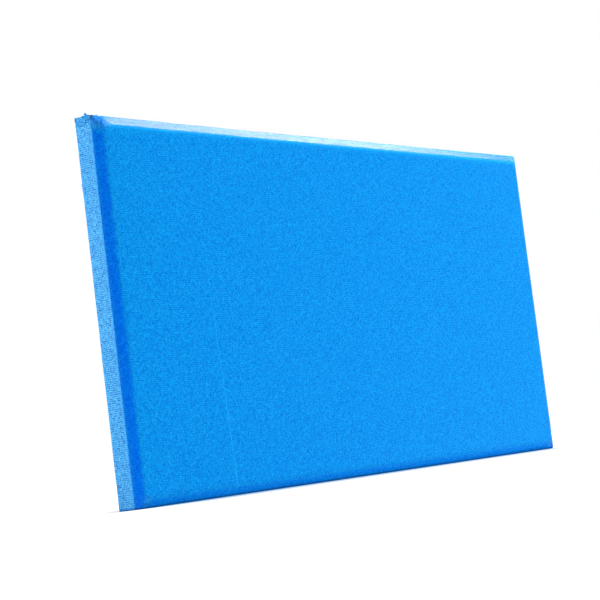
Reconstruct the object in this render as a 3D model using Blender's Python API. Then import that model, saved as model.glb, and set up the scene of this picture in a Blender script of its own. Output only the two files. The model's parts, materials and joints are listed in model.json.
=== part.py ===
# Fabric-wrapped acoustic wall panel with a bevelled front, in metres, +Z up.
# The front faces -Y and the panel stands on its bottom edge at Z = 0, centred on X = 0.
# Y = 0 is the middle of the wrapped frame's depth.
# A cross-section is drawn as (inset from the panel's edge, depth behind its front).

import math

import bmesh
import bpy
from mathutils import Matrix, Vector

# Panel outline and bevel
PANEL_W = 1.200
PANEL_H = 0.600
BEVEL_INSET = 0.015
BEVEL_DEPTH = 0.010

# Gaps between pieces
GAP = 0.0003  # between pieces that touch
CORE_FIT = 0.001  # round the mineral wool

# Cloth, fleece and dust cover
CLOTH_T = 0.0008
CLOTH_EDGE_R = 0.0015  # how softly the cloth turns every edge
CLOTH_RETURN = 0.0165  # turned in on the back
FLEECE_T = 0.0015
DUST_T = 0.0005
DUST_INSET = 0.005
DUST_CORNER_R = 0.004

# Timber frame
RAIL_W = 0.020
RAIL_D = 0.040
RAIL_ARRIS = 0.0012  # rounding of the edges under the cloth
BRACE_W = 0.020
BRACE_D = 0.028
BRACE_SET_IN = 0.002  # from the back of the frame
BLOCK_LEG = 0.055
BLOCK_T = 0.022
BLOCK_TIP = 0.004  # cut off the corner that faces the mitre
BLOCK_END = 0.005  # cut off the two thin ends
BLOCK_SET_IN = 0.002  # from the back of the frame

# Countersunk wood screw
WOOD_HEAD_R = 0.0036
WOOD_HEAD_RIM = 0.0003
WOOD_SHANK_R = 0.0018
WOOD_TIP = 0.004
BLOCK_SCREW_L = 0.040
BLOCK_SCREW_PITCH = 0.026
BRACE_SCREW_L = 0.045
BRACE_SCREW_PITCH = 0.014

# Strap hanger and its D-ring
HANGER_DROP = 0.100  # from the top edge to the eye
STRAP_W = 0.008
STRAP_T = 0.001
STRAP_L = 0.034
STRAP_END_R = 0.0036
EYE_CURL = 290  # degrees that the strap is rolled through
EYE_FIT = 0.0003  # round the ring's bar
RING_WIRE_R = 0.00125
RING_INNER_W = 0.014
RING_BEND_R = 0.0025  # centre line of the bends at the bar's ends
RING_SIDE = 0.0045  # from the bar to the start of the bow

# Pan-head screw in a strap
PAN_HEAD_R = 0.0028
PAN_HEAD_H = 0.0018
PAN_RIM_H = 0.0005  # upright edge under the dome
PAN_SHANK_R = 0.0014
PAN_SCREW_L = 0.016
PAN_TIP = 0.003
STRAP_HOLE_R = 0.0019
FIRST_SCREW_DROP = 0.0205  # from the eye to the upper screw
STRAP_SCREW_PITCH = 0.008
HOLE_RUN_OUT = 0.003  # how far a screw's hole is cut beyond its head

# Cross recess in every screw head
CROSS_SPAN = 0.0032
CROSS_FLOOR_SPAN = 0.0019
CROSS_W = 0.0008
CROSS_DEPTH = 0.0011

# Rubber bumper
BUMPER_INSET = 0.017
BUMPER_R = 0.0062
BUMPER_TOP_R = 0.0052
BUMPER_H = 0.006
BUMPER_EDGE_R = 0.0009

# Smoothness of round shapes
CORNER_STEPS = 3
ARC_STEPS = 3
ARRIS_STEPS = 2
STRAP_END_STEPS = 5
SCREW_SIDES = 12
RING_CORNER_STEPS = 4
RING_BOW_STEPS = 14
RING_WIRE_RESOLUTION = 2
EYE_STEPS = 20
BUMPER_SIDES = 24

# Places that follow from the sizes above
SKIN = CLOTH_T + GAP  # from the cloth's outside to the frame
RAIL_FRONT = SKIN + FLEECE_T + GAP
RAIL_BACK = RAIL_FRONT + RAIL_D
PANEL_T = RAIL_BACK + SKIN
RAIL_INNER = SKIN + RAIL_W
BACK_Y = PANEL_T / 2
DUST_Y = BACK_Y + GAP + DUST_T
FIXING_Y = DUST_Y + GAP  # where straps and bumpers sit
STILE_X = PANEL_W / 2 - SKIN - RAIL_W / 2
EYE_R = RING_WIRE_R + EYE_FIT
EYE_Y = FIXING_Y + STRAP_T + EYE_R
EYE_Z = PANEL_H - HANGER_DROP
SHARP = math.radians(30)
WELD = 1e-6

SIDES = {"left": -1, "right": 1}
CORNERS = {
    "top_left": (-1, 1),
    "top_right": (1, 1),
    "bottom_left": (-1, -1),
    "bottom_right": (1, -1),
}


def depth_y(depth):
    """World Y of a depth behind the panel's front."""
    return depth - PANEL_T / 2


def finish(name, colour, roughness, metallic=0.0):
    """A material with one surface colour."""
    material = bpy.data.materials.new(name)
    material.use_nodes = True
    surface = material.node_tree.nodes["Principled BSDF"]
    surface.inputs["Base Color"].default_value = (*colour, 1.0)
    surface.inputs["Roughness"].default_value = roughness
    surface.inputs["Metallic"].default_value = metallic
    material.diffuse_color = (*colour, 1.0)
    return material


def mesh_from(name, bm):
    """A closed mesh with its faces outwards, smooth apart from its sharp edges."""
    bmesh.ops.recalc_face_normals(bm, faces=bm.faces)
    mesh = bpy.data.meshes.new(name)
    bm.to_mesh(mesh)
    bm.free()
    mesh.shade_smooth()
    mesh.set_sharp_from_angle(angle=SHARP)
    return mesh


def piece(name, mesh, material, matrix=None):
    """A named piece of the panel, at its place."""
    part = bpy.data.objects.new(name, mesh)
    bpy.context.scene.collection.objects.link(part)
    if not mesh.materials:
        mesh.materials.append(material)
    if matrix is not None:
        part.matrix_world = matrix
    return part


def cut(part, bm):
    """Take the solids in bm out of a piece."""
    cutter = bpy.data.objects.new(f"cutter_{part.name}", mesh_from(f"cutter_{part.name}", bm))
    bpy.context.scene.collection.objects.link(cutter)
    cutter.hide_render = True
    cutter.display_type = "WIRE"
    modifier = part.modifiers.new("cut", "BOOLEAN")
    modifier.operation = "DIFFERENCE"
    modifier.solver = "EXACT"
    modifier.object = cutter


def extrude_outline(bm, outline, offset):
    """A solid from a closed outline of points, pushed along offset."""
    face = bm.faces.new([bm.verts.new(point) for point in outline])
    pushed = bmesh.ops.extrude_face_region(bm, geom=[face])
    verts = [item for item in pushed["geom"] if isinstance(item, bmesh.types.BMVert)]
    bmesh.ops.translate(bm, verts=verts, vec=offset)


def turn(bm, profile, sides, matrix):
    """Add a solid turned about Z from (radius, height) points whose ends lie on the axis."""
    turned = bmesh.new()
    verts = [turned.verts.new((radius, 0, height)) for radius, height in profile]
    edges = [turned.edges.new(pair) for pair in zip(verts, verts[1:])]
    middle = (0, 0, 0)
    bmesh.ops.spin(
        turned, geom=verts + edges, axis=(0, 0, 1), cent=middle, angle=math.tau, steps=sides
    )
    bmesh.ops.remove_doubles(turned, verts=turned.verts, dist=WELD)
    bmesh.ops.transform(turned, matrix=matrix, verts=turned.verts)
    mesh = bpy.data.meshes.new("turned")
    turned.to_mesh(mesh)
    turned.free()
    bm.from_mesh(mesh)
    bpy.data.meshes.remove(mesh)


def moved_in(profile, distance):
    """An open profile moved to its left by a distance, with its corners kept sharp."""
    moved = []
    for k, point in enumerate(profile):
        runs = zip(profile[max(k - 1, 0) : k + 2], profile[max(k - 1, 0) + 1 : k + 2])
        normals = [(end - start).normalized().orthogonal() for start, end in runs]
        middle = sum(normals, Vector((0, 0))).normalized()
        moved.append(point + middle * distance / middle.dot(normals[0]))
    return moved


def rounded(profile, radius, steps):
    """An open profile with its inner corners turned to arcs."""
    points = [profile[0]]
    for before, corner, after in zip(profile, profile[1:], profile[2:]):
        back = (before - corner).normalized()
        on = (after - corner).normalized()
        half = back.angle(on) / 2
        centre = corner + (back + on).normalized() * radius / math.sin(half)
        start = corner + back * radius / math.tan(half) - centre
        end = corner + on * radius / math.tan(half) - centre
        sweep = start.angle_signed(end)
        for step in range(steps + 1):
            points.append(centre + Matrix.Rotation(-sweep * step / steps, 2) @ start)
    return points + [profile[-1]]


def panel_profile():
    """The outside of the wrapped panel, from the cloth's turned-in edge to its front."""
    return [
        Vector((CLOTH_RETURN, PANEL_T)),
        Vector((0, PANEL_T)),
        Vector((0, BEVEL_DEPTH)),
        Vector((BEVEL_INSET, 0)),
        Vector((BEVEL_INSET + RAIL_W, 0)),
    ]


def ring_round_panel(inset, depth, radius):
    """Points of a rectangle with round corners, at an inset and a depth."""
    points = []
    for turns, (side, level) in enumerate([(1, 1), (-1, 1), (-1, -1), (1, -1)]):
        centre_x = side * (PANEL_W / 2 - inset - radius)
        centre_z = PANEL_H / 2 + level * (PANEL_H / 2 - inset - radius)
        for step in range(CORNER_STEPS + 1):
            angle = math.radians(90) * (turns + step / CORNER_STEPS)
            x = centre_x + radius * math.cos(angle)
            z = centre_z + radius * math.sin(angle)
            points.append(Vector((x, depth_y(depth), z)))
    return points


def cover_fabric():
    """One cloth over the front, bevels and edges, turned in on the back of the frame."""
    outside = panel_profile()
    inside = moved_in(outside, CLOTH_T)
    bm = bmesh.new()
    loops = []
    for profile, radius in ((outside, CLOTH_EDGE_R), (inside, CLOTH_EDGE_R - CLOTH_T)):
        layer = []
        for inset, depth in rounded(profile, radius, ARC_STEPS)[:-1]:
            layer.append([bm.verts.new(p) for p in ring_round_panel(inset, depth, radius)])
        loops += layer if profile is outside else layer[::-1]
    count = len(loops[0])
    half = len(loops) // 2
    for k, (ring, next_ring) in enumerate(zip(loops, loops[1:] + loops[:1])):
        if k == half - 1:
            continue
        for n in range(count):
            m = (n + 1) % count
            bm.faces.new((ring[n], ring[m], next_ring[m], next_ring[n]))
    bm.faces.new(loops[half - 1])
    bm.faces.new(loops[half])
    return mesh_from("cover_fabric", bm)


def rail_section():
    """A rail's section: bevelled to lie inside the cloth, square on its inner side."""
    skin = moved_in(panel_profile(), SKIN)
    back, shoulder, crest = skin[1:4]
    reach = (RAIL_FRONT - shoulder.y) / (crest.y - shoulder.y)
    inner_back = Vector((RAIL_INNER, RAIL_BACK))
    inner_front = Vector((RAIL_INNER, RAIL_FRONT))
    outline = [inner_back, back, shoulder, shoulder.lerp(crest, reach), inner_front]
    return rounded(outline, RAIL_ARRIS, ARRIS_STEPS)


def mitred_rail(name, length):
    """A rail along X with its outer edge at Z = 0 and both ends cut at 45 degrees."""
    mitre_gap = GAP / math.sqrt(2)
    bm = bmesh.new()
    ends = []
    for side in (-1, 1):
        verts = []
        for inset, depth in rail_section():
            x = side * (length / 2 - inset - mitre_gap)
            verts.append(bm.verts.new((x, depth_y(depth), inset)))
        ends.append(verts)
        bm.faces.new(verts)
    start, end = ends
    for n in range(len(start)):
        m = (n + 1) % len(start)
        bm.faces.new((start[n], start[m], end[m], end[n]))
    return mesh_from(name, bm)


def in_corner(bm, side, level, inset, outline, front, back):
    """A solid in a corner of the frame, from an outline of (x, z) distances out of it."""
    points = []
    for x, z in outline:
        x = side * (PANEL_W / 2 - inset - x)
        z = PANEL_H / 2 + level * (PANEL_H / 2 - inset - z)
        points.append((x, depth_y(front), z))
    extrude_outline(bm, points, (0, back - front, 0))


def corner_block(name, side, level):
    """A triangular plywood block with its tip and its two thin ends cut off."""
    leg, end, tip = BLOCK_LEG, BLOCK_END, BLOCK_TIP
    outline = [(tip, 0), (leg, 0), (leg, end), (end, leg), (0, leg), (0, tip)]
    back = RAIL_BACK - BLOCK_SET_IN
    bm = bmesh.new()
    in_corner(bm, side, level, RAIL_INNER + GAP, outline, back - BLOCK_T, back)
    return mesh_from(name, bm)


def block_rebate(bm, side, level):
    """The room that the mineral wool leaves for a corner block, open at the back."""
    leg = BLOCK_LEG + CORE_FIT
    end = BLOCK_END + CORE_FIT * math.sqrt(2)
    outline = [(0, 0), (leg, 0), (leg, end), (end, leg), (0, leg)]
    front = RAIL_BACK - BLOCK_SET_IN - BLOCK_T - CORE_FIT
    in_corner(bm, side, level, RAIL_INNER + GAP, outline, front, PANEL_T)


def wood_screw_profile(length, grow=0.0, head_clearance=0.0):
    """A countersunk screw from the top of its head to its tip, head outwards."""
    head = WOOD_HEAD_R + grow
    shank = WOOD_SHANK_R + grow
    rim = -WOOD_HEAD_RIM - grow
    return [
        (0, head_clearance),
        (head, head_clearance),
        (head, rim),
        (shank, rim - (head - shank)),
        (shank, WOOD_TIP - length),
        (0, -length - grow),
    ]


def pan_screw_profile():
    """A pan-head screw with its seat at height 0 and a domed head."""
    dome = []
    for step in range(ARC_STEPS + 1):
        angle = math.radians(90) * (1 - step / ARC_STEPS)
        height = PAN_RIM_H + (PAN_HEAD_H - PAN_RIM_H) * math.sin(angle)
        dome.append((PAN_HEAD_R * math.cos(angle), height))
    return [
        *dome,
        (PAN_HEAD_R, 0),
        (PAN_SHANK_R, 0),
        (PAN_SHANK_R, PAN_TIP - PAN_SCREW_L),
        (0, -PAN_SCREW_L),
    ]


def cross_recess(bm, height):
    """The plus-shaped recess in a screw head, narrower at its floor."""
    arm, half = CROSS_SPAN / 2, CROSS_W / 2
    outline = []
    for quarter in range(4):
        for x, y in ((arm, -half), (arm, half), (half, half)):
            outline.append(Matrix.Rotation(math.radians(90 * quarter), 3, "Z") @ Vector((x, y, 0)))
    extrude_outline(bm, outline, (0, 0, 2 * CROSS_DEPTH))
    floor = [vert for vert in bm.verts if vert.co.z < CROSS_DEPTH]
    taper = CROSS_FLOOR_SPAN / CROSS_SPAN
    bmesh.ops.scale(bm, vec=(taper, taper, 1), verts=floor)
    bmesh.ops.translate(bm, vec=(0, 0, height - CROSS_DEPTH), verts=bm.verts)


def screw_mesh(name, profile):
    """A screw with its cross recess cut, ready to be shared by all its copies."""
    bm = bmesh.new()
    turn(bm, profile, SCREW_SIDES, Matrix())
    blank = piece(name, mesh_from(name, bm), STEEL)
    recess = bmesh.new()
    cross_recess(recess, profile[0][1])
    cut(blank, recess)
    scene_state = bpy.context.evaluated_depsgraph_get()
    mesh = bpy.data.meshes.new_from_object(blank.evaluated_get(scene_state))
    bpy.data.objects.remove(bpy.data.objects[f"cutter_{name}"])
    bpy.data.objects.remove(blank)
    return mesh


def pointing(place, outwards):
    """The matrix that puts a turned piece at a place with its Z outwards."""
    return Matrix.Translation(place) @ outwards.to_track_quat("Z", "Y").to_matrix().to_4x4()


def corner_screw_places(side, level):
    """Places of a corner block's two screws, side by side in its long face."""
    outwards = Vector((-side, 0, -level)).normalized()
    along = Vector((side, 0, -level)).normalized()
    middle = RAIL_INNER + GAP + (BLOCK_LEG + BLOCK_END) / 2
    x = side * (PANEL_W / 2 - middle)
    z = PANEL_H / 2 + level * (PANEL_H / 2 - middle)
    y = depth_y(RAIL_BACK - BLOCK_SET_IN - BLOCK_T / 2)
    centre = Vector((x, y, z)) - outwards * GAP
    return {
        "stile": pointing(centre + along * BLOCK_SCREW_PITCH / 2, outwards),
        "rail": pointing(centre - along * BLOCK_SCREW_PITCH / 2, outwards),
    }


def brace_screw_places(level):
    """Places of the two screws through a rail into one end of the brace."""
    outwards = Vector((0, 0, level))
    z = PANEL_H / 2 + level * (PANEL_H / 2 - SKIN - GAP)
    y = depth_y(RAIL_BACK - BRACE_SET_IN - BRACE_D / 2)
    return {
        name: pointing(Vector((0, y + step * BRACE_SCREW_PITCH / 2, z)), outwards)
        for name, step in (("front", -1), ("back", 1))
    }


def strap_screw_places(side):
    """Places of the two screws that hold a strap, from the eye downwards."""
    places = {}
    for k, name in enumerate(("upper", "lower")):
        z = EYE_Z - FIRST_SCREW_DROP - k * STRAP_SCREW_PITCH
        seat = Vector((side * STILE_X, FIXING_Y + STRAP_T + GAP, z))
        places[name] = pointing(seat, Vector((0, 1, 0)))
    return places


def add_wood_hole(bm, place, length):
    """A hole for a countersunk screw, open beyond its head."""
    turn(bm, wood_screw_profile(length, GAP, HOLE_RUN_OUT), SCREW_SIDES, place)


def add_strap_hole(bm, place, radius):
    """A round hole along a strap screw, from in front of its tip to beyond its head."""
    bottom = -PAN_SCREW_L - GAP
    profile = [(0, HOLE_RUN_OUT), (radius, HOLE_RUN_OUT), (radius, bottom), (0, bottom)]
    turn(bm, profile, SCREW_SIDES, place)


def centre_brace():
    """The upright in the middle, kept back from the front so that it never shows."""
    bm = bmesh.new()
    front = depth_y(RAIL_BACK - BRACE_SET_IN - BRACE_D)
    low = RAIL_INNER + GAP
    x = BRACE_W / 2
    outline = [(-x, front, low), (x, front, low), (x, front + BRACE_D, low), (-x, front + BRACE_D, low)]
    extrude_outline(bm, outline, (0, 0, PANEL_H - 2 * low))
    return mesh_from("centre_brace", bm)


def core_slab(name, side):
    """Half of the mineral wool, from the stile to the middle of the panel."""
    bm = bmesh.new()
    inner = side * CORE_FIT / 2
    outer = side * (PANEL_W / 2 - RAIL_INNER - CORE_FIT)
    low = RAIL_INNER + CORE_FIT
    front = depth_y(RAIL_FRONT)
    outline = [(inner, front, low), (outer, front, low)]
    outline += [(outer, front, PANEL_H - low), (inner, front, PANEL_H - low)]
    extrude_outline(bm, outline, (0, RAIL_D, 0))
    return mesh_from(name, bm)


def sheet(name, inset, radius, depth, thickness):
    """A flat sheet with round corners, parallel to the front."""
    bm = bmesh.new()
    extrude_outline(bm, ring_round_panel(inset, depth, radius), (0, thickness, 0))
    return mesh_from(name, bm)


def strap_hanger(name, side):
    """A steel strap whose upper end is rolled into an eye for the ring's bar."""
    x = side * STILE_X - STRAP_W / 2
    centre = Vector((x, EYE_Y, EYE_Z))
    bottom = EYE_Z - STRAP_L
    outline = [Vector((x, FIXING_Y, bottom))]
    for radius, order in ((EYE_R + STRAP_T, 1), (EYE_R, -1)):
        for step in range(EYE_STEPS + 1)[::order]:
            angle = math.radians(180 - EYE_CURL * step / EYE_STEPS)
            outline.append(centre + Vector((0, math.cos(angle), math.sin(angle))) * radius)
    outline.append(Vector((x, FIXING_Y + STRAP_T, bottom)))
    bm = bmesh.new()
    extrude_outline(bm, outline, (STRAP_W, 0, 0))
    corners = []
    for edge in bm.edges:
        start, end = (vert.co for vert in edge.verts)
        if max(start.z, end.z) < bottom + STRAP_T and abs(start.x - end.x) < STRAP_T:
            corners.append(edge)
    radius = min(STRAP_END_R, STRAP_W / 2 - GAP)
    bmesh.ops.bevel(
        bm, geom=corners, offset=radius, segments=STRAP_END_STEPS, profile=0.5, affect="EDGES"
    )
    return mesh_from(name, bm)


def d_ring(name, side):
    """A wire ring with a straight bar in the eye and a round bow hanging below it."""
    half = RING_INNER_W / 2 + RING_WIRE_R
    bends = [(half - RING_BEND_R, -RING_BEND_R, RING_BEND_R, 90, RING_CORNER_STEPS, 90)]
    bends.append((0, -RING_SIDE, half, 0, RING_BOW_STEPS, 180))
    bends.append((RING_BEND_R - half, -RING_BEND_R, RING_BEND_R, 180, RING_CORNER_STEPS, 90))
    points = []
    for x, z, radius, start, steps, sweep in bends:
        for step in range(steps + 1):
            angle = math.radians(start - sweep * step / steps)
            points.append((x + radius * math.cos(angle), 0, z + radius * math.sin(angle), 1))
    wire = bpy.data.curves.new(name, "CURVE")
    wire.dimensions = "3D"
    wire.bevel_depth = RING_WIRE_R
    wire.bevel_resolution = RING_WIRE_RESOLUTION
    spline = wire.splines.new("POLY")
    spline.points.add(len(points) - 1)
    for place, point in zip(spline.points, points):
        place.co = point
    spline.use_cyclic_u = True
    spline.use_smooth = True
    return piece(name, wire, STEEL, Matrix.Translation((side * STILE_X, EYE_Y, EYE_Z)))


def wall_bumper():
    """A flat-topped rubber bumper with a taper and a round upper edge."""
    flank = [
        Vector((0, BUMPER_H)),
        Vector((BUMPER_TOP_R, BUMPER_H)),
        Vector((BUMPER_R, 0)),
    ]
    bm = bmesh.new()
    turn(bm, [*rounded(flank, BUMPER_EDGE_R, ARC_STEPS), (0, 0)], BUMPER_SIDES, Matrix())
    return mesh_from("wall_bumper", bm)


# The scene holds the panel alone
for old in list(bpy.data.objects):
    bpy.data.objects.remove(old)

BLUE_CLOTH = finish("blue_cloth", (0.010, 0.300, 0.880), 0.85)
WHITE_FLEECE = finish("white_fleece", (0.80, 0.80, 0.78), 0.95)
MINERAL_WOOL = finish("mineral_wool", (0.42, 0.33, 0.16), 1.0)
SOFTWOOD = finish("softwood", (0.62, 0.42, 0.23), 0.65)
PLYWOOD = finish("plywood", (0.50, 0.34, 0.19), 0.7)
BLACK_NONWOVEN = finish("black_nonwoven", (0.016, 0.016, 0.017), 0.95)
STEEL = finish("zinc_plated_steel", (0.62, 0.62, 0.60), 0.32, 1.0)
BLACK_RUBBER = finish("black_rubber", (0.018, 0.018, 0.018), 0.8)

# Frame: two rails, two stiles and the brace
quarter_turn = math.radians(90)
frame = {
    "bottom_rail": (PANEL_W, Vector((0, 0, 0)), 0),
    "top_rail": (PANEL_W, Vector((0, 0, PANEL_H)), 2),
    "left_stile": (PANEL_H, Vector((-PANEL_W / 2, 0, PANEL_H / 2)), 1),
    "right_stile": (PANEL_H, Vector((PANEL_W / 2, 0, PANEL_H / 2)), -1),
}
holes = {}
for name, (length, place, turns) in frame.items():
    matrix = Matrix.Translation(place) @ Matrix.Rotation(turns * quarter_turn, 4, "Y")
    piece(name, mitred_rail(name, length), SOFTWOOD, matrix)
    holes[name] = bmesh.new()
piece("centre_brace", centre_brace(), SOFTWOOD)
holes["centre_brace"] = bmesh.new()

# Corner blocks and their screws
corner_screw = screw_mesh("corner_screw", wood_screw_profile(BLOCK_SCREW_L))
for corner, (side, level) in CORNERS.items():
    block = f"corner_block_{corner}"
    piece(block, corner_block(block, side, level), PLYWOOD)
    holes[block] = bmesh.new()
    row, column = corner.split("_")
    for which, place in corner_screw_places(side, level).items():
        piece(f"corner_screw_{corner}_{which}", corner_screw, STEEL, place)
        entered = f"{row}_rail" if which == "rail" else f"{column}_stile"
        for holed in (block, entered):
            add_wood_hole(holes[holed], place, BLOCK_SCREW_L)

# Screws through the rails into the brace
brace_screw = screw_mesh("brace_screw", wood_screw_profile(BRACE_SCREW_L))
for row, level in (("top", 1), ("bottom", -1)):
    for which, place in brace_screw_places(level).items():
        piece(f"brace_screw_{row}_{which}", brace_screw, STEEL, place)
        for holed in (f"{row}_rail", "centre_brace"):
            add_wood_hole(holes[holed], place, BRACE_SCREW_L)

# Mineral wool, rebated round the blocks and the brace
for name, side in SIDES.items():
    slab = piece(f"core_slab_{name}", core_slab(f"core_slab_{name}", side), MINERAL_WOOL)
    rebates = bmesh.new()
    for level in (-1, 1):
        block_rebate(rebates, side, level)
    front = depth_y(RAIL_BACK - BRACE_SET_IN - BRACE_D) - CORE_FIT
    reach = BRACE_W / 2 + CORE_FIT
    outline = [(-reach, front, 0), (reach, front, 0), (reach, BACK_Y, 0), (-reach, BACK_Y, 0)]
    extrude_outline(rebates, outline, (0, 0, PANEL_H))
    cut(slab, rebates)

# Fleece under the cloth, the cloth, and the dust cover over its turned-in edge
front_edge = moved_in(panel_profile(), SKIN)[3].x
fleece = sheet("front_fleece", front_edge + GAP, CLOTH_EDGE_R, SKIN, FLEECE_T)
piece("front_fleece", fleece, WHITE_FLEECE)
piece("cover_fabric", cover_fabric(), BLUE_CLOTH)
holes["cover_fabric"] = bmesh.new()
dust_cover = sheet("dust_cover", DUST_INSET, DUST_CORNER_R, PANEL_T + GAP, DUST_T)
piece("dust_cover", dust_cover, BLACK_NONWOVEN)
holes["dust_cover"] = bmesh.new()

# Strap hangers, their screws and the rings that swing in them
pan_screw = screw_mesh("strap_screw", pan_screw_profile())
for name, side in SIDES.items():
    strap = piece(f"strap_hanger_{name}", strap_hanger(f"strap_hanger_{name}", side), STEEL)
    holes[strap.name] = bmesh.new()
    for which, place in strap_screw_places(side).items():
        piece(f"strap_screw_{name}_{which}", pan_screw, STEEL, place)
        add_strap_hole(holes[strap.name], place, STRAP_HOLE_R)
        for holed in (f"{name}_stile", "cover_fabric", "dust_cover"):
            add_strap_hole(holes[holed], place, PAN_SHANK_R + GAP)
    d_ring(f"d_ring_{name}", side)

# Bumpers in the four corners of the back
bumper = wall_bumper()
for corner, (side, level) in CORNERS.items():
    x = side * (PANEL_W / 2 - BUMPER_INSET)
    z = PANEL_H / 2 + level * (PANEL_H / 2 - BUMPER_INSET)
    place = pointing(Vector((x, FIXING_Y, z)), Vector((0, 1, 0)))
    piece(f"wall_bumper_{corner}", bumper, BLACK_RUBBER, place)

for name, bm in holes.items():
    cut(bpy.data.objects[name], bm)
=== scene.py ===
import json
import math

import bmesh
import bpy
from mathutils import Matrix, Vector, noise


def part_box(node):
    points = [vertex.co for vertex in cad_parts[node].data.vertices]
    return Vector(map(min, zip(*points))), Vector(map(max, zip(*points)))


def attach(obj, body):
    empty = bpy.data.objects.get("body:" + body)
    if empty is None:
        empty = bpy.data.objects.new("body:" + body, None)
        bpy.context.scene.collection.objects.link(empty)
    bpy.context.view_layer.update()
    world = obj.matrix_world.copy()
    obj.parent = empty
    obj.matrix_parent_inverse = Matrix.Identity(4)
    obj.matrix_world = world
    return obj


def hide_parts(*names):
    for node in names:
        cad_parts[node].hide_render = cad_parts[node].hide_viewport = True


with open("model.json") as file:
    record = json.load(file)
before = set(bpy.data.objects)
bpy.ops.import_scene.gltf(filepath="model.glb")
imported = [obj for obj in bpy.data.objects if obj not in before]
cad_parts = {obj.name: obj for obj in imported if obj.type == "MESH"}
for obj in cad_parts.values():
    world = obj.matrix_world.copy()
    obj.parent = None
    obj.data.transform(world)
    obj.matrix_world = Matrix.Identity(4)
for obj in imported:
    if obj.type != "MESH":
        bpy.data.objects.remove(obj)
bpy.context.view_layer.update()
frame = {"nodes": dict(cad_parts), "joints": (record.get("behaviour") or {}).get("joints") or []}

# Timber frame: two rails and two stiles, mitred at the corners, and an upright brace in the middle.
# Planed softwood, left bare. It is glued and screwed together and disappears under the cloth.
PINE_LIGHT = (0.640, 0.430, 0.235, 1)
PINE_DARK = (0.400, 0.225, 0.105, 1)
PINE_RINGS = 100  # a growth ring about every 3 mm
PINE_FIBRES = 1400
DRAWN_OUT = 0.035  # the pattern changes this much more slowly along the wood than across it


def finish(name, roughness, metallic=0.0):
    """A new finish and the shader that its surface uses."""
    material = bpy.data.materials.new(name)
    material.use_nodes = True
    shader = material.node_tree.nodes["Principled BSDF"]
    shader.inputs["Roughness"].default_value = roughness
    shader.inputs["Metallic"].default_value = metallic
    return material, shader


def add(material, kind, inputs, **settings):
    """A node of a finish: an input takes either a plain value or another node's output."""
    made = material.node_tree.nodes.new(kind)
    for key, value in settings.items():
        setattr(made, key, value)
    for socket, value in inputs.items():
        if isinstance(value, bpy.types.NodeSocket):
            material.node_tree.links.new(value, made.inputs[socket])
        else:
            made.inputs[socket].default_value = value
    return made


def number(material, operation, *values):
    """The result of one sum on numbers or outputs."""
    return add(material, "ShaderNodeMath", dict(enumerate(values)), operation=operation).outputs[0]


def blend_of(material, *parts, base=0):
    """Several patterns added to a base, each times its share."""
    total = base
    for share, pattern in parts:
        total = number(material, "MULTIPLY_ADD", pattern, share, total)
    return total


def shades(material, value, *stops):
    """Colours picked by a value between 0 and 1."""
    ramp = add(material, "ShaderNodeValToRGB", {"Fac": value})
    for k, (place, colour) in enumerate(stops):
        step = ramp.color_ramp.elements[k] if k < 2 else ramp.color_ramp.elements.new(place)
        step.position = place
        step.color = colour
    return ramp.outputs["Color"]


def place_on_object(material, scale=(1, 1, 1)):
    """Places on the piece in metres, stretched by a scale."""
    where = add(material, "ShaderNodeTexCoord", {}).outputs["Object"]
    return add(material, "ShaderNodeMapping", {"Vector": where, "Scale": scale}).outputs[0]


def grain(material, where, scale, detail=2.0, roughness=0.5):
    """Soft random grain between 0 and 1."""
    inputs = {"Vector": where, "Scale": scale, "Detail": detail, "Roughness": roughness}
    return add(material, "ShaderNodeTexNoise", inputs).outputs["Fac"]


def raise_surface(material, shader, height, depth, strength=1.0):
    """Relief on a surface, with its depth in metres."""
    bump = add(material, "ShaderNodeBump", {"Height": height, "Distance": depth, "Strength": strength})
    material.node_tree.links.new(bump.outputs["Normal"], shader.inputs["Normal"])


def colour_from(material, shader, colour):
    """Let a pattern give the surface its colour."""
    material.node_tree.links.new(colour, shader.inputs["Base Color"])


def softwood(name, along):
    """Planed pine whose grain runs along one axis."""
    material, shader = finish(name, 0.62)
    where = place_on_object(material, [DRAWN_OUT if axis == along else 1 for axis in "XYZ"])
    wavy = {"Vector": where, "Scale": PINE_RINGS, "Distortion": 3.5, "Detail": 2, "Detail Scale": 0.6}
    rings = add(material, "ShaderNodeTexWave", wavy, wave_profile="SAW", bands_direction="Y")
    fibres = grain(material, where, PINE_FIBRES, 3)
    ringed = blend_of(material, (0.7, rings.outputs["Fac"]), (0.35, fibres))
    colour_from(material, shader, shades(material, ringed, (0.1, PINE_LIGHT), (0.95, PINE_DARK)))
    raise_surface(material, shader, fibres, 0.0002, 0.6)
    return material


def dress(names, material):
    """Give pieces of the frame their finish."""
    for name in names:
        frame["nodes"][name].data.materials.clear()
        frame["nodes"][name].data.materials.append(material)


dress(["top_rail", "bottom_rail"], softwood("softwood_rail", "X"))
dress(["left_stile", "right_stile", "centre_brace"], softwood("softwood_upright", "Z"))

# Corner blocks: triangles of birch plywood, sawn and left bare, one screwed into each corner of the frame.
# Their plies lie parallel to the panel's front, so they show as bands on the sawn edges.
PLIES = 190  # a ply about every 1.6 mm
PLY_FIBRES = 1100
PLY_LIGHT = (0.560, 0.390, 0.225, 1)
PLY_DARK = (0.330, 0.195, 0.100, 1)

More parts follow.
